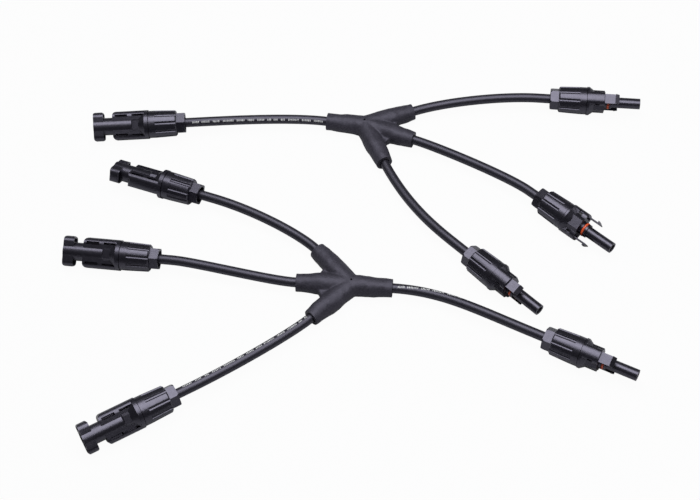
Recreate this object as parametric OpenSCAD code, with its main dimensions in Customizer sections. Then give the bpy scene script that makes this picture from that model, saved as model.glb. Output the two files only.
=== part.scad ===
// Matched pair of 3-to-1 solar branch cables.
// Front cable: three socket-type connectors joined into one plug-type connector.
// Back cable: one socket-type connector split into three plug-type connectors.
// Millimetres, +Z up, both cables lying on the plane z = 0.
// Each connector is drawn in its own frame: x runs to the mating end, the nut seat is at x = 0,
// and the two latch sides lie along y.

/* [Cable] */
// Outer diameter of the cable jacket
cable_d = 6.2; // [5:0.1:6.4]
// Diameter of the stranded copper conductor
conductor_d = 2.6; // [1.8:0.1:3]

/* [Shell, both kinds] */
// Diameter of the round flange that the nut meets
flange_d = 19; // [18.4:0.1:20]
// How far the latch rails stand out past the flange radius
rail_proud = 0.15; // [0.05:0.05:0.3]
// Height of the latch rails across the connector
rail_h = 10; // [9.5:0.5:11]
// Radius of the rounded edges along the latch rails and the collar
rail_edge_r = 3.5; // [2:0.1:4.5]
// Outer diameter of the threaded tail
tail_d = 14.2; // [13.8:0.1:14.4]
// Length of the threaded tail
tail_len = 13; // [11:0.5:14]
// Pitch of the tail thread
thread_pitch = 1.5; // [1:0.25:2]
// Depth of the tail thread
thread_depth = 0.4; // [0.2:0.1:0.5]
// Diameter of the bore that holds the rubber seal and the clamp fingers
gland_bore_d = 11; // [10.6:0.1:11.4]

/* [Socket shell] */
// Length of the socket shell in front of the nut seat
socket_len = 36.6; // [35:0.1:40]
// Thickness of the socket flange
socket_flange_t = 2.5; // [1.5:0.1:3]
// Outer diameter of the socket tube
tube_d = 11.6; // [11.2:0.1:12]
// Length of the slotted collar at the mouth
collar_len = 6.6; // [6:0.1:8]
// Radius of the outer corners of the collar
collar_corner_r = 1.5; // [0.5:0.1:2]
// Length of the latch rails from the nut seat
rail_len = 23.8; // [22:0.1:25]
// Radius of the front corners of the latch rails
rail_corner_r = 2.8; // [1:0.1:3]
// Thickness of the latch rails
rail_t = 2.3; // [1.8:0.1:2.6]
// Start and end of the rear window beside the neck
rear_window = [3.1, 10.9]; // [2:0.1:12]
// Start and end of the front window beside the tube
front_window = [13.8, 22.1]; // [12:0.1:24]
// Thickness of the web that closes the windows half way down
window_web = 1.6; // [1:0.1:3]
// End of the eight-sided neck
neck_end = 10.5; // [9:0.1:12]
// Width across the flats of the eight-sided neck
neck_flats = 12.6; // [12:0.1:13]
// Depth of the sealing mouth
mouth_depth = 9.5; // [8:0.1:11]
// Depth of the nose bore from the mouth face
nose_bore_depth = 25; // [24.2:0.1:27]
// Depth of the pin tip behind the mouth face
pin_depth = 10.5; // [9:0.1:12]

/* [Plug shell] */
// Length of the plug shell in front of the nut seat
plug_len = 35.5; // [34:0.1:37]
// Thickness of the plug bead against the nut
bead_t = 1.5; // [1:0.1:2]
// Radius at the small end of the plug cone
cone_end_r = 7; // [6.5:0.1:7.2]
// Start and end of the plug body
plug_body = [5, 11.7]; // [4:0.1:13]
// Height of the plug body across the latch arms' normal
plug_body_h = 13.7; // [12:0.1:14.5]
// Width of the plug body between the latch arms
plug_body_w = 11.8; // [11:0.1:12.2]
// Corner cut of the plug body
plug_body_cut = 2.6; // [2:0.1:3.2]
// Length of the closed band at the front of the plug's latch rails
wing_band = 3.4; // [2:0.1:4.5]
// Radius of the front corners of the plug's latch rails
wing_corner_r = 0.8; // [0.4:0.1:1]
// Diameter of the sealing boss
boss_d = 8.8; // [8.6:0.1:9]
// Length of the sealing boss
boss_len = 4.8; // [4:0.1:5.5]
// Diameter of the plug nose
nose_d = 7.1; // [6.8:0.1:7.2]

/* [Latch arms] */
// Thickness of a latch arm
arm_t = 0.9; // [0.8:0.1:1]
// Width of a latch arm
arm_w = 6.5; // [5.5:0.1:7]
// Distance of a latch arm from the connector axis
arm_y = 7.75; // [7.6:0.05:7.8]
// Position of the arm root along the connector
arm_root_x = 5.2; // [5:0.1:6]
// Radius of the arm root
arm_root_r = 0.65; // [0.6:0.05:0.7]
// Length of the arrow barb
barb_len = 2.6; // [1.8:0.1:2.8]
// Height of the arrow barb above the arm
barb_h = 1.2; // [0.8:0.1:1.3]

/* [Contacts and O-ring] */
// Diameter of the contact pin
pin_d = 4; // [3.8:0.1:4]
// Diameter of the contact sleeve
sleeve_d = 4.8; // [4.7:0.1:4.9]
// Diameter of the crimp end of a contact
crimp_d = 5.6; // [5.4:0.1:5.8]
// How far the sleeve sits behind the nose face
sleeve_recess = 2; // [1:0.1:3]
// Thickness of the O-ring
o_ring_t = 1.6; // [1.4:0.1:1.7]

/* [Nut] */
// Length of the round part of the nut
nut_len = 18.4; // [17.5:0.1:19.5]
// Length of the plain band at the front of the nut
nut_band = 4.4; // [3.5:0.1:5]
// Diameter of the nut at the plain band
nut_d = 18.2; // [17.8:0.1:18.4]
// Diameter of the nut at the end of the ribs
nut_rear_d = 17.2; // [17:0.1:17.6]
// Number of grip grooves
groove_n = 10; // [8:1:12]
// Width of a grip groove
groove_w = 2.4; // [1.8:0.1:2.8]
// Depth of a grip groove
groove_depth = 0.7; // [0.4:0.05:0.75]
// Length of the hexagonal collar
hex_len = 5.6; // [4.5:0.1:6.5]
// Width across the flats of the hexagonal collar
hex_flats = 12.8; // [12.4:0.1:13.4]
// Diameter of the cable opening in the hexagonal collar
nut_mouth_d = 10.5; // [10:0.1:11]
// Axial position of the clamp shoulder inside the nut
shoulder_x = 14.6; // [14.4:0.1:15.2]
// Travel of the nut along the thread when it is unscrewed
nut_travel = 7.5; // [6:0.5:7.5]

/* [Gland] */
// Length of the rubber seal
seal_len = 5; // [4:0.1:5.5]
// Outer diameter of the rubber seal
seal_d = 10.6; // [10.2:0.1:10.6]
// Number of clamp fingers
finger_n = 6; // [4:1:8]
// Width of the slots between the clamp fingers
finger_slot = 1; // [0.6:0.1:1.4]
// Thickness of the clamp ring's flange
cage_flange_t = 1.2; // [0.8:0.1:1.3]

/* [Branch moulding] */
// Length of the trunk arm from the junction
trunk_len = 25.5; // [23:0.5:28]
// Length of each branch arm from the junction
branch_len = 34.5; // [31:0.5:36]
// Radius at the end of the trunk arm
trunk_end_r = 5.65; // [5:0.05:6]
// Radius of the trunk arm at the junction
trunk_root_r = 7.1; // [6.9:0.05:7.4]
// Radius of the full part of the branch arms
branch_root_r = 6.8; // [6:0.05:6.9]
// Radius at the end of the branch arms
branch_end_r = 5.6; // [5:0.05:5.9]
// Length of the full part of the branch arms from the junction
branch_body = 20.5; // [16:0.5:24]
// Thickness of the webs between the branch arms
web_t = 7; // [5:0.5:8]
// Length of the webs from the junction
web_len = 23; // [18:0.5:24]
// Diameter of the vent pinhole on top of the junction
pinhole_d = 1.2; // [0.8:0.1:1.6]
// Depth of the vent pinhole
pinhole_depth = 2; // [1:0.1:2.5]
// Length of cable held in each arm
cable_hold = 9; // [8:0.5:11]
// Diameter of the splice ferrule
splice_d = 7; // [6:0.1:7.6]
// Length of the splice ferrule
splice_len = 12; // [10:0.5:13]

/* [Hidden] */
$fn = 64;

// Clearances
run_clear = 0.05;
mate_clear = 0.25;
nose_clear = 0.2;
thread_clear = 0.2;
nut_gap = 0.3;
gland_clear = 0.4;
cage_gap = 0.2;
arm_clear = 0.1;
o_ring_squeeze = 0.05;
o_ring_side = 0.1;
o_ring_bed = 0.03;
cage_clear = 0.4;
barb_gap = 0.4;

// How far a cut runs past the face it opens, and how far pieces of one solid run into each other
cut = 1;
weld = 0.5;

// Small steps, tapers and chamfers
ball_step = 0.1;
thread_runout = 1;
flange_step = 0.6;
flange_taper = 4.2;
neck_taper = 0.8;
window_sink = 0.3;
slot_over = 1.4;
slot_rise = 0.9;
pin_step = 1.2;
sleeve_step = 5;
sleeve_bore = 14;
contact_chamfer = 0.5;
tip_len = 1;
tip_step = 0.8;
core_in = 5;
arm_pocket_in = 5.95;
root_rise = 2.4;
body_sink = 1.5;
barb_tip = 0.6;
barb_cut = 0.4;
nut_chamfer = 0.8;
hex_edge = 0.6;
hex_slope = 2.4;
finger_len = 5.5;
splice_back = 2;

// Radii that follow from the sizes above
flange_r = flange_d / 2;
rail_r = flange_r + rail_proud;
axis_h = rail_r;
tail_r = tail_d / 2;
tube_r = tube_d / 2;
nut_r = nut_d / 2;
nut_rear_r = nut_rear_d / 2;
// Radius of the hollow of a grip groove, from its width and depth
groove_r = (pow(groove_w / 2, 2) + pow(groove_depth, 2)) / (2 * groove_depth);
nut_bore_r = tail_r + thread_clear;
mouth_r = boss_d / 2 + mate_clear;
nose_r = nose_d / 2;
gland_r = gland_bore_d / 2;
cable_r = cable_d / 2;
pin_r = pin_d / 2;
sleeve_r = sleeve_d / 2;
crimp_r = crimp_d / 2;
boss_r = boss_d / 2;

// Axial positions that follow from the sizes above
seal_x = 0.8;
cable_end_x = -seal_x;
slab_in = arm_y + arm_t / 2 + arm_clear;
slab_end = plug_body[1];
arm_end = slab_end + collar_len + barb_gap + barb_len;
slot_in = arm_y - arm_t / 2 - slot_over;
slot_out = slab_in;
slot_h = arm_w + slot_rise;
contact_step = nose_bore_depth + pin_step;
o_ring_x = slab_end + boss_len * 0.52;
o_ring_r = mouth_r + o_ring_squeeze - o_ring_t / 2;
hex_end = nut_gap + nut_len + hex_len;
cable_straight = hex_end + nut_travel + cut;

// Where each nut seat lies: x and y
FS1_AT = [-125.5, 63.5];
FS2_AT = [-151.5, 7.5];
FS3_AT = [-135, -107.5];
FP_AT = [128.8, -77.9];
BP1_AT = [155, 122];
BP2_AT = [131.5, 24];
BP3_AT = [82.6, -19.7];
BS_AT = [-139, 116];
// Heading of each mating end and roll of its latches, with its place
FS1 = concat(FS1_AT, [157.5, 26]);
FS2 = concat(FS2_AT, [171, -36]);
FS3 = concat(FS3_AT, [208, -38]);
FP = concat(FP_AT, [-29.5, 110]);
BP1 = concat(BP1_AT, [-7.5, 115]);
BP2 = concat(BP2_AT, [-45.5, 30]);
BP3 = concat(BP3_AT, [-48, 108]);
BS = concat(BS_AT, [181, -38]);

// Where each junction lies: x, y, height
junction_h = trunk_root_r;
FY = [-7.6, -20.4, junction_h];
BY = [5.3, 109.4, junction_h];
// Headings of the arms: trunk first, then the branches
FY_ARMS = [-7.5, 126.5, 173.5, 222];
BY_ARMS = [167.5, 19, -23, -70];

// Reach of each cable's bend from the connector and from the moulding
reach_f1 = [32, 14];
reach_f2 = [15.5, 16.5];
reach_f3 = [29, 17];
reach_f4 = [40, 31];
reach_b1 = [23, 25];
reach_b2 = [16, 12.5];
reach_b3 = [19, 40];
reach_b4 = [19, 24];
bend_steps = 7;
jacket_sides = 12;
arc_steps = 6;

shell_color = [0.06, 0.06, 0.07];
nut_color = [0.07, 0.07, 0.08];
jacket_color = [0.09, 0.09, 0.1];
moulding_color = [0.16, 0.16, 0.18];
seal_color = [0.12, 0.12, 0.12];
ring_color = [0.85, 0.22, 0.1];
metal_color = [0.72, 0.72, 0.7];

// Helpers along the connector axis
module along_x(x0) {
  translate([x0, 0, 0]) rotate([0, 90, 0]) children();
}

module rod(x0, x1, r) {
  along_x(x0) cylinder(h = x1 - x0, r = r);
}

module taper(x0, x1, r0, r1) {
  along_x(x0) cylinder(h = x1 - x0, r1 = r0, r2 = r1);
}

module slab(x0, x1, y0, y1, h) {
  translate([x0, y0, -h / 2]) cube([x1 - x0, y1 - y0, h]);
}

module both_sides() {
  children();
  mirror([0, 1, 0]) children();
}

module place(c) {
  translate([c[0], c[1], axis_h]) rotate([0, 0, c[2]]) rotate([c[3], 0, 0]) children();
}

module arm_dir(yaw) {
  rotate([0, 0, yaw]) rotate([0, 90, 0]) children();
}

// Thread ridges on the tail, as rings of the thread profile
module tail() {
  turns = floor((tail_len - thread_runout) / thread_pitch);
  root = tail_r - thread_depth;
  along_x(-tail_len) rotate_extrude() polygon(concat(
    [[0, 0]],
    [for (i = [0 : turns - 1]) each [[root, i * thread_pitch], [tail_r, (i + 0.5) * thread_pitch]]],
    [[root, turns * thread_pitch], [root, tail_len + weld], [0, tail_len + weld]]
  ));
}

module gland_bore() {
  rod(-tail_len - cut, -seal_x, gland_r);
}

// Points of an arc, or of a plain corner where the radius is zero
function arc(x, y, r, a0, a1) = r > 0
  ? [for (i = [0 : arc_steps]) let (a = a0 + (a1 - a0) * i / arc_steps) [x + r * cos(a), y + r * sin(a)]]
  : [[x, y]];

// Latch rail seen along the connector: flat faces, an outer arc, and rounded edges between them
function rail_outline() =
  let (h = rail_h / 2, b = h - rail_edge_r)
  let (y = sqrt(pow(rail_r - rail_edge_r, 2) - pow(b, 2)), a = atan2(b, y))
  let (rim = [for (p = arc(0, 0, rail_r, -a, a)) if (abs(p[1]) < rail_r * sin(a) - weld / 10) p])
  concat([[-weld, -h]], arc(y, -b, rail_edge_r, -90, -a), rim, arc(y, b, rail_edge_r, a, 90), [[-weld, h]]);

// Rail between two stations, its outer corners rounded
module rail_bar(x0, x1, r0, r1) {
  intersection() {
    rotate([90, 0, 90]) translate([0, 0, x0]) linear_extrude(x1 - x0) polygon(rail_outline());
    translate([0, 0, -rail_h]) linear_extrude(2 * rail_h) polygon(concat(
      [[x0, -cut], [x1, -cut]],
      arc(x1 - r1, rail_r - r1, r1, 0, 90),
      arc(x0 + r0, rail_r - r0, r0, 90, 180)
    ));
  }
}

module socket_rails() {
  both_sides() difference() {
    rail_bar(0, rail_len, 0, rail_corner_r);
    window(front_window, tube_r - window_sink);
    window(rear_window, neck_flats / 2 - window_sink);
  }
}

// Window beside the tube, open on both faces and closed by a web half way down
module window(span, y0) {
  for (s = [0, 1]) mirror([0, 0, s])
    translate([span[0], y0, window_web / 2]) cube([span[1] - span[0], rail_r - rail_t - y0, rail_h]);
}

module socket_collar() {
  both_sides() rail_bar(socket_len - collar_len, socket_len, collar_corner_r, collar_corner_r);
}

module socket_shell() {
  color(shell_color) difference() {
    union() {
      tail();
      rod(0, socket_flange_t, flange_r);
      taper(socket_flange_t, socket_flange_t + flange_taper, flange_r - flange_step, neck_flats / 2);
      rotate([22.5, 0, 0]) along_x(weld) linear_extrude(neck_end - weld)
        circle(r = neck_flats / 2 / cos(22.5), $fn = 8);
      taper(neck_end, neck_end + neck_taper, neck_flats / 2, tube_r);
      rod(weld, socket_len, tube_r);
      socket_rails();
      socket_collar();
    }
    gland_bore();
    rod(socket_len - mouth_depth, socket_len + cut, mouth_r);
    rod(socket_len - nose_bore_depth, socket_len + cut, nose_r + nose_clear);
    rod(socket_len - contact_step - weld, socket_len, pin_r + run_clear);
    rod(-seal_x - cut, socket_len - contact_step, crimp_r + run_clear);
    both_sides() slab(socket_len - collar_len - cut, socket_len + cut, slot_in, slot_out, slot_h);
  }
}

module plug_shell() {
  color(shell_color) difference() {
    union() {
      tail();
      rod(0, bead_t, flange_r);
      taper(bead_t, plug_body[0], flange_r, cone_end_r);
      plug_core();
      rod(plug_body[0], slab_end + boss_len, boss_r);
      rod(plug_body[0], plug_len, nose_r);
      both_sides() intersection() {
        rail_bar(0, slab_end, 0, wing_corner_r);
        union() {
          slab(0, slab_end, slab_in, rail_r, rail_h);
          slab(0, arm_root_x, core_in, rail_r, arm_w + root_rise);
          slab(slab_end - wing_band, slab_end, core_in, rail_r, rail_h);
        }
      }
    }
    gland_bore();
    rod(-seal_x - cut, sleeve_step, crimp_r + run_clear);
    rod(0, plug_len + cut, sleeve_r + run_clear);
    along_x(o_ring_x - o_ring_t / 2 - o_ring_side) difference() {
      cylinder(h = o_ring_t + 2 * o_ring_side, r = boss_r + cut);
      translate([0, 0, -cut])
        cylinder(h = o_ring_t + 2 * o_ring_side + 2 * cut, r = o_ring_r - o_ring_t / 2 + o_ring_bed);
    }
    both_sides() {
      translate([arm_root_x, arm_y, -arm_w / 2 - arm_clear])
        cylinder(h = arm_w + 2 * arm_clear, r = arm_root_r + run_clear);
      slab(arm_root_x, slab_end + cut, arm_pocket_in, slab_in, arm_w + 2 * arm_clear);
    }
  }
}

// Central body of the plug with cut corners
module plug_core() {
  w = plug_body_w / 2;
  h = plug_body_h / 2;
  c = plug_body_cut;
  along_x(plug_body[0] - body_sink) linear_extrude(slab_end - plug_body[0] + body_sink)
    polygon([
      [h, w - c], [h - c, w], [c - h, w], [-h, w - c],
      [-h, c - w], [c - h, -w], [h - c, -w], [h, c - w]
    ]);
}

// Latch arm with a round root and an outward barb
module latch() {
  y0 = arm_y - arm_t / 2;
  y1 = arm_y + arm_t / 2;
  b = arm_end - barb_len;
  color(shell_color) intersection() {
    union() {
      translate([arm_root_x, arm_y, -arm_w / 2]) cylinder(h = arm_w, r = arm_root_r);
      translate([0, 0, -arm_w / 2]) linear_extrude(arm_w) polygon([
        [arm_root_x, y0], [arm_end - barb_tip, y0], [arm_end, y0 + barb_cut],
        [b, y1 + barb_h], [b + barb_cut, y1], [arm_root_x, y1]
      ]);
    }
    rod(0, arm_end + cut, rail_r);
  }
}

module o_ring() {
  color(ring_color) along_x(o_ring_x) rotate_extrude() translate([o_ring_r, 0]) circle(r = o_ring_t / 2);
}

module pin_contact() {
  tip = socket_len - pin_depth;
  color(metal_color) union() {
    rod(cable_end_x + contact_chamfer, socket_len - contact_step, crimp_r);
    taper(cable_end_x, cable_end_x + contact_chamfer, crimp_r - contact_chamfer, crimp_r);
    rod(socket_len - contact_step - weld, tip - tip_len, pin_r);
    taper(tip - tip_len, tip, pin_r, pin_r - tip_step);
  }
}

module sleeve_contact() {
  front = plug_len - sleeve_recess;
  color(metal_color) difference() {
    union() {
      rod(cable_end_x, sleeve_step, crimp_r);
      rod(sleeve_step - weld, front, sleeve_r);
    }
    rod(front - sleeve_bore, front + cut, pin_r);
  }
}

module nut() {
  rear = nut_gap + nut_len;
  slope = atan((nut_r - nut_rear_r) / (nut_len - nut_band));
  color(nut_color) difference() {
    union() {
      rod(-nut_gap - nut_band, -nut_gap, nut_r);
      taper(-rear + nut_chamfer, -nut_gap - nut_band, nut_rear_r, nut_r);
      taper(-rear, -rear + nut_chamfer, nut_rear_r - nut_chamfer, nut_rear_r);
      intersection() {
        along_x(-hex_end) linear_extrude(hex_len + weld) circle(r = hex_flats / 2 / cos(30), $fn = 6);
        taper(-hex_end, -rear + weld, hex_flats / 2 + hex_edge, hex_flats / 2 + hex_slope);
      }
    }
    rod(-shoulder_x, cut, nut_bore_r);
    rod(-hex_end - cut, -shoulder_x + weld, nut_mouth_d / 2);
    for (i = [0 : groove_n - 1])
      rotate([360 * i / groove_n, 0, 0]) translate([-nut_gap - nut_band, 0, nut_r - groove_depth])
        rotate([0, -slope, 0]) translate([-nut_len - cut, 0, groove_r])
          rotate([0, 90, 0]) cylinder(h = nut_len + cut, r = groove_r);
  }
}

// Clamp ring: a flange that the nut pushes, and fingers that close on the cable
module cage() {
  front = -seal_x - seal_len - cage_gap;
  color(seal_color) difference() {
    union() {
      rod(-shoulder_x, -shoulder_x + cage_flange_t, nut_bore_r - cage_clear);
      rod(-shoulder_x, front, gland_r - gland_clear);
    }
    rod(-shoulder_x - cut, front + cut, cable_r + gland_clear);
    for (i = [0 : finger_n - 1])
      rotate([360 * i / finger_n, 0, 0])
        translate([front - finger_len, -finger_slot / 2, cable_r - cut])
          cube([finger_len + cut, finger_slot, gland_r]);
  }
}

module seal() {
  color(seal_color) difference() {
    rod(-seal_x - seal_len, -seal_x, seal_d / 2);
    rod(-seal_x - seal_len - cut, 0, cable_r);
  }
}

// Splice ferrule with the conductors that run to each cable end
module splice_form(arms, over) {
  arm_dir(arms[0]) translate([0, 0, -splice_back]) cylinder(h = splice_len, r = splice_d / 2);
  arm_dir(arms[0]) cylinder(h = trunk_len - cable_hold + over, r = conductor_d / 2);
  for (i = [1 : 3]) arm_dir(arms[i]) cylinder(h = branch_len - cable_hold + over, r = conductor_d / 2);
}

module splice(arms) {
  color(metal_color) union() splice_form(arms, 0);
}

module web(yaw0, yaw1) {
  translate([0, 0, -web_t / 2]) linear_extrude(web_t)
    polygon([
      [0, 0],
      [web_len * cos(yaw0), web_len * sin(yaw0)],
      [web_len * cos(yaw1), web_len * sin(yaw1)]
    ]);
}

module moulding(arms) {
  color(moulding_color) difference() {
    union() {
      arm_dir(arms[0]) cylinder(h = trunk_len, r1 = trunk_root_r - ball_step, r2 = trunk_end_r);
      for (i = [1 : 3]) arm_dir(arms[i]) rotate_extrude() polygon([
        [0, 0], [branch_root_r, 0], [branch_root_r, branch_body], [branch_end_r, branch_len], [0, branch_len]
      ]);
      sphere(r = trunk_root_r);
      web(arms[1], arms[2]);
      web(arms[2], arms[3]);
    }
    translate([0, 0, trunk_root_r - pinhole_depth]) cylinder(h = pinhole_depth + cut, d = pinhole_d);
    arm_dir(arms[0]) translate([0, 0, trunk_len - cable_hold]) cylinder(h = cable_hold + cut, r = cable_r);
    for (i = [1 : 3])
      arm_dir(arms[i]) translate([0, 0, branch_len - cable_hold]) cylinder(h = cable_hold + cut, r = cable_r);
    splice_form(arms, cut);
  }
}

// Cable route: straight inside the connector, one smooth bend, straight into the moulding
function heading(a) = [cos(a), sin(a), 0];
function seat(c) = [c[0], c[1], axis_h];
function bend(p, q, r, s, t) = pow(1 - t, 3) * p + 3 * t * pow(1 - t, 2) * q
  + 3 * t * t * (1 - t) * r + pow(t, 3) * s;
function route(c, y, yaw, arm, reach) =
  let (d = heading(c[2]), e = heading(yaw))
  let (p = seat(c) - cable_straight * d, s = y + arm * e)
  let (q = p - reach[0] * d, r = s + reach[1] * e)
  concat(
    [seat(c) + cable_end_x * d],
    [for (i = [0 : bend_steps]) bend(p, q, r, s, i / bend_steps)],
    [s - cable_hold * e]
  );
function unit(v) = v / norm(v);
function ring_dir(pts, i) =
  unit(pts[min(i + 1, len(pts) - 1)] - pts[max(i - 1, 0)]);
function ring(p, d, r) =
  let (side = unit(cross([0, 0, 1], d)), top = cross(d, side))
  [for (k = [0 : jacket_sides - 1])
    p + r * (cos(360 * k / jacket_sides) * side + sin(360 * k / jacket_sides) * top)];

module cable(c, y, yaw, arm, reach) {
  pts = route(c, y, yaw, arm, reach);
  n = len(pts);
  m = jacket_sides;
  dirs = [for (i = [0 : n - 1])
    i <= 1 ? -heading(c[2]) : i >= n - 2 ? -heading(yaw) : ring_dir(pts, i)];
  verts = [for (i = [0 : n - 1]) each ring(pts[i], dirs[i], cable_r)];
  sides = [for (i = [0 : n - 2], k = [0 : m - 1])
    [i * m + k, i * m + (k + 1) % m, (i + 1) * m + (k + 1) % m, (i + 1) * m + k]];
  caps = [[for (k = [0 : m - 1]) m - 1 - k], [for (k = [0 : m - 1]) (n - 1) * m + k]];
  color(jacket_color) polyhedron(points = verts, faces = concat(sides, caps), convexity = 4);
}

module gland_seals(list) {
  for (c = list) place(c) seal();
}

// Front cable
translate(FY) moulding(FY_ARMS);  // front_moulding
translate(FY) splice(FY_ARMS);  // front_splice
cable(FS1, FY, FY_ARMS[1], branch_len, reach_f1);  // front_cable_1
cable(FS2, FY, FY_ARMS[2], branch_len, reach_f2);  // front_cable_2
cable(FS3, FY, FY_ARMS[3], branch_len, reach_f3);  // front_cable_3
cable(FP, FY, FY_ARMS[0], trunk_len, reach_f4);  // front_cable_4
place(FS1) socket_shell();  // front_socket_shell_1
place(FS2) socket_shell();  // front_socket_shell_2
place(FS3) socket_shell();  // front_socket_shell_3
place(FP) plug_shell();  // front_plug_shell
place(FS1) nut();  // front_nut_1
place(FS2) nut();  // front_nut_2
place(FS3) nut();  // front_nut_3
place(FP) nut();  // front_nut_4
place(FS1) cage();  // front_cage_1
place(FS2) cage();  // front_cage_2
place(FS3) cage();  // front_cage_3
place(FP) cage();  // front_cage_4
place(FP) latch();  // front_latch_a
place(FP) mirror([0, 1, 0]) latch();  // front_latch_b
place(FS1) pin_contact();  // front_pin_1
place(FS2) pin_contact();  // front_pin_2
place(FS3) pin_contact();  // front_pin_3
place(FP) sleeve_contact();  // front_sleeve
place(FP) o_ring();  // front_o_ring
gland_seals([FS1, FS2, FS3, FP]);  // front_gland_seals

// Back cable
translate(BY) moulding(BY_ARMS);  // back_moulding
translate(BY) splice(BY_ARMS);  // back_splice
cable(BP1, BY, BY_ARMS[1], branch_len, reach_b1);  // back_cable_1
cable(BP2, BY, BY_ARMS[2], branch_len, reach_b2);  // back_cable_2
cable(BP3, BY, BY_ARMS[3], branch_len, reach_b3);  // back_cable_3
cable(BS, BY, BY_ARMS[0], trunk_len, reach_b4);  // back_cable_4
place(BP1) plug_shell();  // back_plug_shell_1
place(BP2) plug_shell();  // back_plug_shell_2
place(BP3) plug_shell();  // back_plug_shell_3
place(BS) socket_shell();  // back_socket_shell
place(BP1) nut();  // back_nut_1
place(BP2) nut();  // back_nut_2
place(BP3) nut();  // back_nut_3
place(BS) nut();  // back_nut_4
place(BP1) cage();  // back_cage_1
place(BP2) cage();  // back_cage_2
place(BP3) cage();  // back_cage_3
place(BS) cage();  // back_cage_4
place(BP1) latch();  // back_latch_1a
place(BP1) mirror([0, 1, 0]) latch();  // back_latch_1b
place(BP2) latch();  // back_latch_2a
place(BP2) mirror([0, 1, 0]) latch();  // back_latch_2b
place(BP3) latch();  // back_latch_3a
place(BP3) mirror([0, 1, 0]) latch();  // back_latch_3b
place(BP1) sleeve_contact();  // back_sleeve_1
place(BP2) sleeve_contact();  // back_sleeve_2
place(BP3) sleeve_contact();  // back_sleeve_3
place(BP1) o_ring();  // back_o_ring_1
place(BP2) o_ring();  // back_o_ring_2
place(BP3) o_ring();  // back_o_ring_3
place(BS) pin_contact();  // back_pin
gland_seals([BP1, BP2, BP3, BS]);  // back_gland_seals
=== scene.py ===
import math
import random

import bmesh
import bpy
from mathutils import Matrix, Vector, noise


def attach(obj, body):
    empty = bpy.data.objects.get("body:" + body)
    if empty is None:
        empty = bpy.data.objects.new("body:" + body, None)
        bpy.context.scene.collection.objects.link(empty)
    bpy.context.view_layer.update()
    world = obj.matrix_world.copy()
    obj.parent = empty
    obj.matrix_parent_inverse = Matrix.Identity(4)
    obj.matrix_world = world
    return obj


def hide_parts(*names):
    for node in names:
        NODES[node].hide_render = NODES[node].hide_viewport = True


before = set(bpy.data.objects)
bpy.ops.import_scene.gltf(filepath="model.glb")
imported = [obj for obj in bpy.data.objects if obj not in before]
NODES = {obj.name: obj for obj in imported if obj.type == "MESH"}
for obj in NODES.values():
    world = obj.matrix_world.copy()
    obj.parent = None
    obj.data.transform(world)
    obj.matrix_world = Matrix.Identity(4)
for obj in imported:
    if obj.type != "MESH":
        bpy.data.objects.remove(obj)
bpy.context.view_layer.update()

SCENE = bpy.context.scene
MM = 0.001
UP = Vector((0, 0, 1))

# Camera fitted to the photograph: focal length and width in pixels, distance in metres
FOCAL_PX, PHOTO_W = 1600.0, 700
SENSOR_W = 36
ELEVATION, ROLL = math.radians(53.5), math.radians(-2.2)
DISTANCE = 1.018
TARGET = Vector((-7.7, 12.2, 0)) * MM

# Sizes of the object in millimetres
AXIS_H = 9.65
JUNCTION_H = 7.1
CABLE_R = 3.1
HEX_END = 24.3
NUT_TRAVEL, TRAVEL_SPARE = 7.5, 1
CABLE_STRAIGHT = HEX_END + NUT_TRAVEL + TRAVEL_SPARE
TRUNK_LEN, BRANCH_LEN = 25.5, 34.5
TRUNK_ROOT_R, TRUNK_END_R = 7.1, 5.65
BRANCH_ROOT_R, BRANCH_END_R, BRANCH_BODY = 6.8, 5.6, 20.5
WEB_T, WEB_LEN = 7.0, 23.0

# Where each connector lies: x, y, heading
FS1 = (-125.5, 63.5, 157.5)
FS2 = (-151.5, 7.5, 171)
FS3 = (-135, -107.5, 208)
FP = (128.8, -77.9, -29.5)
BP1 = (155, 122, -7.5)
BP2 = (131.5, 24, -45.5)
BP3 = (82.6, -19.7, -48)
BS = (-139, 116, 181)

# Where each moulding lies, and the headings of its trunk and its three branches
FY, FY_ARMS = (-7.6, -20.4), (-7.5, 126.5, 173.5, 222)
BY, BY_ARMS = (5.3, 109.4), (167.5, 19, -23, -70)

# Cables: name, connector, moulding, arm heading, length, reaches, body, print angle, twist, height
FRONT, BACK = "front_assembly", "back_assembly"
CABLES = [
    ("front_cable_1", FS1, FY, FY_ARMS[1], BRANCH_LEN, (32, 14), FRONT, 250, 10, 1.2),
    ("front_cable_2", FS2, FY, FY_ARMS[2], BRANCH_LEN, (15.5, 16.5), FRONT, 300, 15, 1.2),
    ("front_cable_3", FS3, FY, FY_ARMS[3], BRANCH_LEN, (29, 17), FRONT, 68, 8, 1.2),
    ("front_cable_4", FP, FY, FY_ARMS[0], TRUNK_LEN, (40, 31), FRONT, 230, -170, 1.3),
    ("back_cable_1", BP1, BY, BY_ARMS[1], BRANCH_LEN, (23, 25), BACK, 280, 20, 1.2),
    ("back_cable_2", BP2, BY, BY_ARMS[2], BRANCH_LEN, (18, 14), BACK, 265, 20, 1.2),
    ("back_cable_3", BP3, BY, BY_ARMS[3], BRANCH_LEN, (19, 40), BACK, 255, 20, 1.2),
    ("back_cable_4", BS, BY, BY_ARMS[0], TRUNK_LEN, (19, 24), BACK, 130, 10, 1.3),
]

# Jacket: depths of its first points in the nut, length held in the moulding, fineness
NUT_DEPTHS = (8.0, 1.0, -4.0)
HELD_LEN = 6.0
BEND_STEPS, JACKET_SIDES = 34, 28

# Print line: bare ends, dashes in a group, dash width and gaps, height above the jacket
PRINT_START, PRINT_END = 13, 9
GROUP_SIZES = (3, 5, 6, 8)
DASH_W, DASH_GAP, GROUP_GAP = (0.35, 0.75), 0.4, (1.2, 2.2)
PRINT_LIFT = 0.02
DASH_COLS, DASH_ROWS = 3, (-1, -0.33, 0.33, 1)
PRINT_SEED = 11

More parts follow.
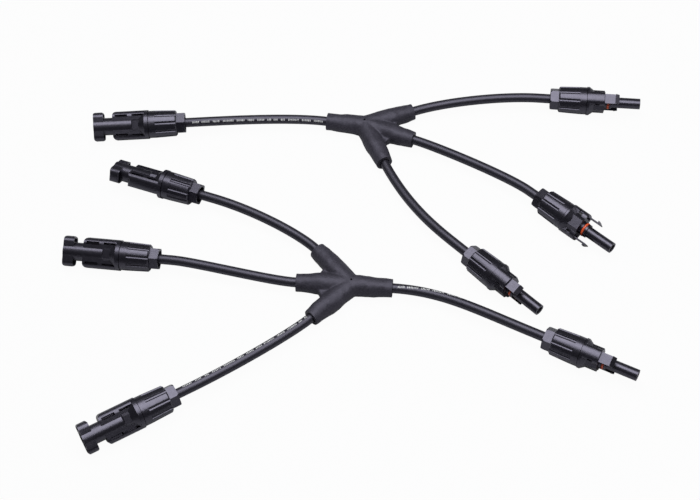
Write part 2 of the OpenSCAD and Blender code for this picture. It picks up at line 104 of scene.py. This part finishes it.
# Moulding skin in millimetres: arms made longer and slimmer before they are cut square
ARM_SIDES = 40
ARM_SPARE, TRUNK_TRIM, BRANCH_TRIM, SHOULDER_LAP = 2.5, 0.1, 0.2, 1
WEB_DROP = 0.9
CREASE_H, CREASE_SHORT, CREASE_R = 1.5, 3.2, (2.6, 1.0)
VOXEL, SOFTEN_STEPS, SOFTEN = 0.45, 16, 0.5
WAVES, WAVE_SINK = ((110, 0.5), (260, 0.2)), 0.1
FLOOR_GAP = 0.05
END_CUT_LEN, END_CUT_R = 8, 9
BORE_IN, BORE_OUT, BORE_CLEAR = 4, 3, (0.02, 0.7)
PINHOLE_R, PINHOLE_DEPTH, PINHOLE_RAISE, PINHOLE_SIDES = (0.7, 0.8), 5, 0.4, 20
SKIN_SHARP = math.radians(40)

# Edge rounding of the carried-over nodes in millimetres
WELD, FLAT_ANGLE, EDGE_ANGLE = 0.002, math.radians(1.0), math.radians(24)
SHELL_EDGE, LATCH_EDGE, NUT_EDGE = 0.22, 0.12, 0.4

# Finishes: darker and lighter tone of each, and the roughness of plastics and rubbers
COLD = (0.84, 0.80, 1.0, 1)
SHELL_TONES = (0.0032, 0.0030, 0.0048), (0.0050, 0.0048, 0.0072)
NUT_TONES = (0.0032, 0.0030, 0.0048), (0.0060, 0.0057, 0.0085)
JACKET_TONES = (0.0052, 0.0050, 0.0072), (0.0090, 0.0087, 0.0120)
OVERMOULD_TONES = (0.019, 0.0178, 0.0245), (0.040, 0.0375, 0.0485)
RING_TONES = (0.62, 0.075, 0.022), (0.78, 0.12, 0.035)
SEAL_TONES = (0.012, 0.012, 0.012), (0.022, 0.022, 0.022)
TIN_TONES = (0.66, 0.65, 0.62), (0.80, 0.79, 0.76)
INK_TONES = (0.34, 0.34, 0.35), (0.68, 0.68, 0.68)
SHELL_ROUGH, NUT_ROUGH, RING_ROUGH, SEAL_ROUGH = 0.32, 0.30, 0.38, 0.6

# Stage: lights with place, size and power, world, and the share of white in floor and backdrop
LIGHT_COLOR = (0.97, 0.98, 1.0)
LIGHTS = [
    ("key", (0.05, 0.05, 1.0), (1.2, 0.75), 13.5),
    ("strip", (-0.7, 0.5, 0.7), (0.5, 0.25), 1.0),
    ("side", (0.8, 0.35, 0.35), (0.5, 0.3), 0.8),
]
WHITE = (1, 1, 1, 1)
WORLD_COLOR, WORLD_STRENGTH = (0.95, 0.96, 1.0, 1), 0.06
FLOOR_COLOR, FLOOR_ROUGH, FLOOR_GLOSS = (0.45, 0.45, 0.46, 1), 0.9, 0.1
FLOOR_SIZE, FLOOR_DROP = 4.0, 0.05
WORLD_SEEN, WORLD_MIRRORED = 1.0, 0.03
FLOOR_SEEN, FLOOR_MIRRORED = 0.96, 0.04


def heading(deg):
    return Vector((math.cos(math.radians(deg)), math.sin(math.radians(deg)), 0))


# Camera at the photograph's angle
def make_camera():
    back = Vector((0, -math.cos(ELEVATION), math.sin(ELEVATION)))
    right = Vector((1, 0, 0))
    up = back.cross(right)
    r = math.cos(ROLL) * right + math.sin(ROLL) * up
    u = -math.sin(ROLL) * right + math.cos(ROLL) * up
    cam = bpy.data.cameras.new("camera")
    cam.sensor_width = SENSOR_W
    cam.lens = SENSOR_W * FOCAL_PX / PHOTO_W
    cam.clip_start = 0.01
    obj = bpy.data.objects.new("camera", cam)
    SCENE.collection.objects.link(obj)
    m = Matrix((r, u, back)).transposed().to_4x4()
    m.translation = TARGET + back * DISTANCE
    obj.matrix_world = m
    SCENE.camera = obj


# Node helpers for the procedural materials
def new_material(name):
    mat = bpy.data.materials.new(name)
    mat.use_nodes = True
    nt = mat.node_tree
    return mat, nt, nt.nodes["Principled BSDF"]


def object_coords(nt):
    return nt.nodes.new("ShaderNodeTexCoord").outputs["Object"]


def noise_node(nt, scale, detail, rough, coords):
    n = nt.nodes.new("ShaderNodeTexNoise")
    n.inputs["Scale"].default_value = scale
    n.inputs["Detail"].default_value = detail
    n.inputs["Roughness"].default_value = rough
    nt.links.new(coords, n.inputs["Vector"])
    return n.outputs["Fac"]


def set_colour(nt, bsdf, fac, tones, lo=0.3, hi=0.7):
    n = nt.nodes.new("ShaderNodeValToRGB")
    for e, pos, tone in zip(n.color_ramp.elements, (lo, hi), tones):
        e.position = pos
        e.color = (*tone, 1)
    nt.links.new(fac, n.inputs["Fac"])
    nt.links.new(n.outputs["Color"], bsdf.inputs["Base Color"])


def set_roughness(nt, bsdf, fac, a, b):
    n = nt.nodes.new("ShaderNodeMapRange")
    n.inputs["From Min"].default_value = 0.3
    n.inputs["From Max"].default_value = 0.7
    n.inputs["To Min"].default_value = a
    n.inputs["To Max"].default_value = b
    nt.links.new(fac, n.inputs["Value"])
    nt.links.new(n.outputs["Result"], bsdf.inputs["Roughness"])


# Height, strength and distance of each bump, from the finest up
def set_bumps(nt, bsdf, *bumps):
    normal = None
    for height, strength, distance in bumps:
        n = nt.nodes.new("ShaderNodeBump")
        n.inputs["Strength"].default_value = strength
        n.inputs["Distance"].default_value = distance
        nt.links.new(height, n.inputs["Height"])
        if normal is not None:
            nt.links.new(normal, n.inputs["Normal"])
        normal = n.outputs["Normal"]
    nt.links.new(normal, bsdf.inputs["Normal"])


def set_gloss(bsdf, level):
    bsdf.inputs["Specular IOR Level"].default_value = level
    bsdf.inputs["Specular Tint"].default_value = COLD


# Moulded plastic: near-black with a cold cast, satin gloss, faint flow marks and light scuffs
def plastic(name, tones, rough):
    mat, nt, bsdf = new_material(name)
    co = object_coords(nt)
    flow = noise_node(nt, 70, 4, 0.55, co)
    scuffs = noise_node(nt, 380, 5, 0.65, co)
    set_colour(nt, bsdf, flow, tones, hi=0.72)
    set_roughness(nt, bsdf, scuffs, rough - 0.03, rough + 0.05)
    set_bumps(nt, bsdf, (flow, 0.04, 0.0002))
    set_gloss(bsdf, 1.0)
    return mat


# Jacket: satin black with fine drawn lines along the cable and faint dust
def jacket():
    mat, nt, bsdf = new_material("jacket_satin")
    uv = nt.nodes.new("ShaderNodeUVMap")
    uv.uv_map = "along"
    mp = nt.nodes.new("ShaderNodeMapping")
    mp.inputs["Scale"].default_value = (60, 26, 1)
    nt.links.new(uv.outputs["UV"], mp.inputs["Vector"])
    lines = noise_node(nt, 1.0, 3, 0.6, mp.outputs["Vector"])
    dust = noise_node(nt, 160, 4, 0.6, object_coords(nt))
    set_colour(nt, bsdf, dust, JACKET_TONES, hi=0.75)
    set_roughness(nt, bsdf, lines, 0.40, 0.47)
    set_bumps(nt, bsdf, (lines, 0.03, 0.00004))
    set_gloss(bsdf, 0.8)
    return mat


# Overmould: soft matte dark grey with a fine leathery grain
def overmould():
    mat, nt, bsdf = new_material("overmould_matte")
    co = object_coords(nt)
    mottled = noise_node(nt, 130, 5, 0.62, co)
    grain = noise_node(nt, 900, 4, 0.65, co)
    set_colour(nt, bsdf, grain, OVERMOULD_TONES)
    set_roughness(nt, bsdf, grain, 0.46, 0.58)
    set_bumps(nt, bsdf, (grain, 0.4, 0.00025), (mottled, 0.2, 0.0003))
    set_gloss(bsdf, 0.5)
    return mat


# Rubber of the seals and rings, lightly blotched
def rubber(name, tones, rough):
    mat, nt, bsdf = new_material(name)
    co = object_coords(nt)
    blot = noise_node(nt, 500, 4, 0.6, co)
    set_colour(nt, bsdf, blot, tones)
    set_roughness(nt, bsdf, blot, rough - 0.06, rough + 0.08)
    set_bumps(nt, bsdf, (noise_node(nt, 3000, 2, 0.5, co), 0.15, 0.00004))
    return mat


# Tinned metal of the contacts
def tinned():
    mat, nt, bsdf = new_material("tinned_contact")
    co = object_coords(nt)
    blot = noise_node(nt, 420, 4, 0.6, co)
    set_colour(nt, bsdf, blot, TIN_TONES)
    set_roughness(nt, bsdf, blot, 0.24, 0.38)
    set_bumps(nt, bsdf, (noise_node(nt, 2500, 3, 0.6, co), 0.12, 0.00004))
    bsdf.inputs["Metallic"].default_value = 1.0
    return mat


# Worn pale ink of the print lines
def print_ink():
    mat, nt, bsdf = new_material("print_ink")
    worn = noise_node(nt, 900, 4, 0.65, object_coords(nt))
    set_colour(nt, bsdf, worn, INK_TONES, lo=0.35, hi=0.6)
    set_roughness(nt, bsdf, worn, 0.45, 0.6)
    return mat


# Cable route, as in the solids: straight in the connector, one bend, straight into the moulding
def route(c, y, yaw, arm, reach):
    d, e = heading(c[2]), heading(yaw)
    seat = Vector((c[0], c[1], AXIS_H))
    p = seat - CABLE_STRAIGHT * d
    s = Vector((y[0], y[1], JUNCTION_H)) + arm * e
    q, r = p - reach[0] * d, s + reach[1] * e
    pts = [seat - (HEX_END - depth) * d for depth in NUT_DEPTHS]
    for i in range(BEND_STEPS + 1):
        t = i / BEND_STEPS
        a = 1 - t
        pts.append(a**3 * p + 3 * t * a**2 * q + 3 * t * t * a * r + t**3 * s)
    pts += [s - HELD_LEN * 0.5 * e, s - HELD_LEN * e]
    return [v * MM for v in pts]


# Point, sideways direction and upward direction along a route
def frames(pts):
    out = []
    for i, p in enumerate(pts):
        d = (pts[min(i + 1, len(pts) - 1)] - pts[max(i - 1, 0)]).normalized()
        side = UP.cross(d).normalized()
        out.append((p, side, d.cross(side)))
    return out


def lengths(pts):
    s = [0.0]
    for a, b in zip(pts, pts[1:]):
        s.append(s[-1] + (b - a).length)
    return s


# A bmesh as an object of the scene, smooth, on a body and in the jacket's slot
def add_jacket_piece(name, bm, body, mat):
    bm.normal_update()
    me = bpy.data.meshes.new(name)
    bm.to_mesh(me)
    bm.free()
    for p in me.polygons:
        p.use_smooth = True
    me.materials.append(mat)
    ob = bpy.data.objects.new(name, me)
    SCENE.collection.objects.link(ob)
    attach(ob, body)
    return ob


def ring(bm, p, side, top, r, sides):
    turns = [2 * math.pi * k / sides for k in range(sides)]
    return [bm.verts.new(p + r * (math.cos(t) * side + math.sin(t) * top)) for t in turns]


# Closed tube along a route, with its length and its turn as texture coordinates
def tube(name, pts, r, body, mat):
    bm = bmesh.new()
    uvl = bm.loops.layers.uv.new("along")
    s = lengths(pts)
    rings = [ring(bm, p, side, top, r, JACKET_SIDES) for p, side, top in frames(pts)]
    for i in range(len(rings) - 1):
        for k in range(JACKET_SIDES):
            k2 = (k + 1) % JACKET_SIDES
            f = bm.faces.new((rings[i][k], rings[i][k2], rings[i + 1][k2], rings[i + 1][k]))
            uvs = ((s[i], k), (s[i], k + 1), (s[i + 1], k + 1), (s[i + 1], k))
            for loop, (a, b) in zip(f.loops, uvs):
                loop[uvl].uv = (a, b / JACKET_SIDES)
    bm.faces.new(list(reversed(rings[0])))
    bm.faces.new(rings[-1])
    return add_jacket_piece(name, bm, body, mat)


# Plain dashes along the jacket where the print line runs
def print_line(name, pts, r, angle, twist, height, body, mat, seed):
    rnd = random.Random(seed)
    s = lengths(pts)
    fr = frames(pts)
    total = s[-1]
    last = total - PRINT_END * MM
    half = height / 2 * MM / r
    bm = bmesh.new()

    def vert_at(x, a):
        x = min(max(x, 0), total - 1e-9)
        i = max(j for j in range(len(s) - 1) if s[j] <= x)
        t = (x - s[i]) / (s[i + 1] - s[i])
        p = fr[i][0].lerp(fr[i + 1][0], t)
        side = fr[i][1].lerp(fr[i + 1][1], t).normalized()
        top = fr[i][2].lerp(fr[i + 1][2], t).normalized()
        return bm.verts.new(p + (r + PRINT_LIFT * MM) * (math.cos(a) * side + math.sin(a) * top))

    x = PRINT_START * MM
    while x < last:
        for _ in range(rnd.choice(GROUP_SIZES)):
            w = rnd.uniform(*DASH_W) * MM
            cols = []
            for i in range(DASH_COLS + 1):
                xi = x + w * i / DASH_COLS
                a = math.radians(angle + twist * xi / total)
                cols.append([vert_at(xi, a + half * j) for j in DASH_ROWS])
            for c0, c1 in zip(cols, cols[1:]):
                for j in range(len(DASH_ROWS) - 1):
                    bm.faces.new((c0[j], c0[j + 1], c1[j + 1], c1[j]))
            x += w + DASH_GAP * MM
            if x > last:
                break
        x += rnd.uniform(*GROUP_GAP) * MM
    return add_jacket_piece(name, bm, body, mat)


# Closed primitives for the branch moulding
def cone_into(bm, a, b, r0, r1):
    d = (b - a).normalized()
    side = UP.cross(d).normalized()
    top = d.cross(side)
    lo, hi = [ring(bm, p, side, top, r, ARM_SIDES) for p, r in ((a, r0), (b, r1))]
    for k in range(ARM_SIDES):
        k2 = (k + 1) % ARM_SIDES
        bm.faces.new((lo[k], lo[k2], hi[k2], hi[k]))
    bm.faces.new(list(reversed(lo)))
    bm.faces.new(hi)


def prism_into(bm, outline, z0, z1):
    lo = [bm.verts.new((x, y, z0)) for x, y in outline]
    hi = [bm.verts.new((x, y, z1)) for x, y in outline]
    n = len(outline)
    bm.faces.new(list(reversed(lo)))
    bm.faces.new(hi)
    for i in range(n):
        j = (i + 1) % n
        bm.faces.new((lo[i], lo[j], hi[j], hi[i]))


def raw_object(name, bm):
    bmesh.ops.recalc_face_normals(bm, faces=bm.faces)
    me = bpy.data.meshes.new(name)
    bm.to_mesh(me)
    bm.free()
    ob = bpy.data.objects.new(name, me)
    SCENE.collection.objects.link(ob)
    return ob


# Puts the result of an object's modifiers into its mesh
def applied(ob):
    deps = bpy.context.evaluated_depsgraph_get()
    me = bpy.data.meshes.new_from_object(ob.evaluated_get(deps))
    old = ob.data
    ob.modifiers.clear()
    ob.data = me
    bpy.data.meshes.remove(old)


# Arms, root ball, webs and creases of a moulding, still as separate closed forms
def moulding_forms(bm, o, arms):
    trunk = heading(arms[0])
    trunk_end = o + trunk * (TRUNK_LEN + ARM_SPARE) * MM
    cone_into(bm, o, trunk_end, TRUNK_ROOT_R * MM, (TRUNK_END_R - TRUNK_TRIM) * MM)
    for a in arms[1:]:
        d = heading(a)
        shoulder = o + d * BRANCH_BODY * MM
        end = o + d * (BRANCH_LEN + ARM_SPARE) * MM
        cone_into(bm, o, shoulder + d * SHOULDER_LAP * MM, BRANCH_ROOT_R * MM, BRANCH_ROOT_R * MM)
        cone_into(bm, shoulder, end, BRANCH_ROOT_R * MM, (BRANCH_END_R - BRANCH_TRIM) * MM)
    ball = Matrix.Translation(o)
    bmesh.ops.create_icosphere(bm, subdivisions=4, radius=TRUNK_ROOT_R * MM, matrix=ball)
    for a, b in ((arms[1], arms[2]), (arms[2], arms[3])):
        corners = [Vector((0, 0, 0)), heading(a) * WEB_LEN, heading(b) * WEB_LEN]
        outline = [(o.x + p.x * MM, o.y + p.y * MM) for p in corners]
        prism_into(bm, outline, o.z - WEB_T / 2 * MM, o.z + (WEB_T / 2 - WEB_DROP) * MM)
        start = o + UP * CREASE_H * MM
        end = start + heading((a + b) / 2) * (WEB_LEN - CREASE_SHORT) * MM
        cone_into(bm, start, end, CREASE_R[0] * MM, CREASE_R[1] * MM)


# What is cut from a moulding: square arm ends, cable holes and the pinhole on top
def moulding_cutters(name, o, arms):
    ends, holes, pin = bmesh.new(), bmesh.new(), bmesh.new()
    for a, ln in zip(arms, (TRUNK_LEN, BRANCH_LEN, BRANCH_LEN, BRANCH_LEN)):
        d = heading(a)
        end = o + d * ln * MM
        cone_into(ends, end, end + d * END_CUT_LEN * MM, END_CUT_R * MM, END_CUT_R * MM)
        inner, outer = [(CABLE_R + clear) * MM for clear in BORE_CLEAR]
        cone_into(holes, end - d * BORE_IN * MM, end + d * BORE_OUT * MM, inner, outer)
    top = o + Vector((0, 0, (TRUNK_ROOT_R + PINHOLE_RAISE) * MM))
    bmesh.ops.create_cone(
        pin, cap_ends=True, segments=PINHOLE_SIDES, radius1=PINHOLE_R[0] * MM,
        radius2=PINHOLE_R[1] * MM, depth=PINHOLE_DEPTH * MM, matrix=Matrix.Translation(top),
    )
    pairs = (("_ends", ends), ("_holes", holes), ("_pin", pin))
    return [raw_object(name + suffix, bm) for suffix, bm in pairs]


# Branch moulding: blended arms and webs with a slightly wavy skin, cut square at the arm ends
def moulding(name, y, arms, body, node, mat):
    o = Vector((y[0], y[1], JUNCTION_H)) * MM
    bm = bmesh.new()
    moulding_forms(bm, o, arms)
    ob = raw_object(name, bm)
    m = ob.modifiers.new("union", "REMESH")
    m.mode = "VOXEL"
    m.voxel_size = VOXEL * MM
    applied(ob)
    m = ob.modifiers.new("soften", "SMOOTH")
    m.factor = SOFTEN
    m.iterations = SOFTEN_STEPS
    applied(ob)
    skin = [(v.co.copy(), v.normal.copy()) for v in ob.data.vertices]
    for v, (p, n) in zip(ob.data.vertices, skin):
        w = sum(noise.noise(p * pitch) * share for pitch, share in WAVES)
        q = p + n * (w - WAVE_SINK) * MM
        q.z = max(q.z, FLOOR_GAP * MM)
        v.co = q
    for tool in moulding_cutters(name, o, arms):
        m = ob.modifiers.new("cut", "BOOLEAN")
        m.operation = "DIFFERENCE"
        m.solver = "EXACT"
        m.object = tool
        applied(ob)
        bpy.data.objects.remove(tool)
    for p in ob.data.polygons:
        p.use_smooth = True
    ob.data.set_sharp_from_angle(angle=SKIN_SHARP)
    ob.data.materials.clear()
    ob.data.materials.append(mat)
    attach(ob, body)
    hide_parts(node)


# Carried-over nodes: welded, with their finish, and edges rounded where a width is given
def dress(node, mat, width=None):
    ob = NODES[node]
    ob.data.materials.clear()
    ob.data.materials.append(mat)
    m = ob.modifiers.new("weld", "WELD")
    m.merge_threshold = WELD * MM
    if width is not None:
        m = ob.modifiers.new("flat", "DECIMATE")
        m.decimate_type = "DISSOLVE"
        m.angle_limit = FLAT_ANGLE
        m = ob.modifiers.new("round", "BEVEL")
        m.width = width * MM
        m.segments = 2
        m.limit_method = "ANGLE"
        m.angle_limit = EDGE_ANGLE
        m.use_clamp_overlap = True
        m.harden_normals = False
        m.miter_outer = "MITER_ARC"
        m = ob.modifiers.new("even", "WEIGHTED_NORMAL")
        m.keep_sharp = True
    for p in ob.data.polygons:
        p.use_smooth = True
    ob.data.set_sharp_from_angle(angle=EDGE_ANGLE)


# Area light that looks at the middle of the part
def add_light(name, loc, size, energy):
    li = bpy.data.lights.new(name, "AREA")
    li.shape = "RECTANGLE"
    li.size, li.size_y = size
    li.energy = energy
    li.color = LIGHT_COLOR
    ob = bpy.data.objects.new(name, li)
    ob.location = loc
    ob.rotation_euler = (-Vector(loc)).to_track_quat("-Z", "Y").to_euler()
    SCENE.collection.objects.link(ob)


# Share of plain white that camera rays, and mirrored or refracted rays, see
def light_path(nt, seen, mirrored):
    lp = nt.nodes.new("ShaderNodeLightPath")
    either = nt.nodes.new("ShaderNodeMath")
    either.operation = "MAXIMUM"
    nt.links.new(lp.outputs["Is Glossy Ray"], either.inputs[0])
    nt.links.new(lp.outputs["Is Transmission Ray"], either.inputs[1])
    part = nt.nodes.new("ShaderNodeMath")
    part.operation = "MULTIPLY"
    part.inputs[1].default_value = mirrored
    nt.links.new(either.outputs[0], part.inputs[0])
    total = nt.nodes.new("ShaderNodeMath")
    total.operation = "MULTIPLY_ADD"
    total.inputs[1].default_value = seen
    nt.links.new(lp.outputs["Is Camera Ray"], total.inputs[0])
    nt.links.new(part.outputs[0], total.inputs[2])
    return total.outputs[0]


# Lit shader mixed with plain white of strength 1, by the kind of ray
def mix_white(nt, lit, white_type, output, seen, mirrored):
    white = nt.nodes.new(white_type)
    white.inputs["Color"].default_value = WHITE
    white.inputs["Strength"].default_value = 1.0
    mix = nt.nodes.new("ShaderNodeMixShader")
    nt.links.new(light_path(nt, seen, mirrored), mix.inputs[0])
    nt.links.new(lit.outputs[0], mix.inputs[1])
    nt.links.new(white.outputs[0], mix.inputs[2])
    nt.links.new(mix.outputs[0], nt.nodes[output].inputs["Surface"])


# Dim world, pale floor and soft lights
def stage():
    world = bpy.data.worlds.new("world")
    SCENE.world = world
    world.use_nodes = True
    nt = world.node_tree
    bg = nt.nodes["Background"]
    bg.inputs["Color"].default_value = WORLD_COLOR
    bg.inputs["Strength"].default_value = WORLD_STRENGTH
    mix_white(nt, bg, "ShaderNodeBackground", "World Output", WORLD_SEEN, WORLD_MIRRORED)

    bm = bmesh.new()
    bmesh.ops.create_grid(bm, x_segments=1, y_segments=1, size=FLOOR_SIZE)
    me = bpy.data.meshes.new("floor")
    bm.to_mesh(me)
    bm.free()
    floor = bpy.data.objects.new("floor", me)
    floor.location = (0, 0, -FLOOR_DROP * MM)
    SCENE.collection.objects.link(floor)
    mat, nt, bsdf = new_material("floor_white")
    bsdf.inputs["Base Color"].default_value = FLOOR_COLOR
    bsdf.inputs["Roughness"].default_value = FLOOR_ROUGH
    bsdf.inputs["Specular IOR Level"].default_value = FLOOR_GLOSS
    mix_white(nt, bsdf, "ShaderNodeEmission", "Material Output", FLOOR_SEEN, FLOOR_MIRRORED)
    me.materials.append(mat)

    for light in LIGHTS:
        add_light(*light)
    SCENE.view_settings.view_transform = "Standard"


make_camera()

JACKET = jacket()
INK = print_ink()
for i, (name, c, y, yaw, arm, reach, body, angle, twist, height) in enumerate(CABLES):
    pts = route(c, y, yaw, arm, reach)
    ob = tube(name + "_jacket", pts, CABLE_R * MM, body, JACKET)
    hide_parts(name)
    ink = print_line(
        name + "_print", pts, CABLE_R * MM, angle, twist, height, body, INK, PRINT_SEED + i
    )

SHELL = plastic("shell_plastic", SHELL_TONES, SHELL_ROUGH)
NUT = plastic("nut_plastic", NUT_TONES, NUT_ROUGH)
OVERMOULD = overmould()
RING = rubber("o_ring_silicone", RING_TONES, RING_ROUGH)
SEAL = rubber("seal_rubber", SEAL_TONES, SEAL_ROUGH)
TIN = tinned()

moulding("front_moulding_skin", FY, FY_ARMS, FRONT, "front_moulding", OVERMOULD)
moulding("back_moulding_skin", BY, BY_ARMS, BACK, "back_moulding", OVERMOULD)

for node in NODES:
    if "shell" in node:
        dress(node, SHELL, SHELL_EDGE)
    elif "latch" in node:
        dress(node, SHELL, LATCH_EDGE)
    elif "nut" in node:
        dress(node, NUT, NUT_EDGE)
    elif "o_ring" in node:
        dress(node, RING)
    elif "pin" in node or "sleeve" in node or "splice" in node:
        dress(node, TIN)
    elif "seals" in node or "cage" in node:
        dress(node, SEAL)

stage()
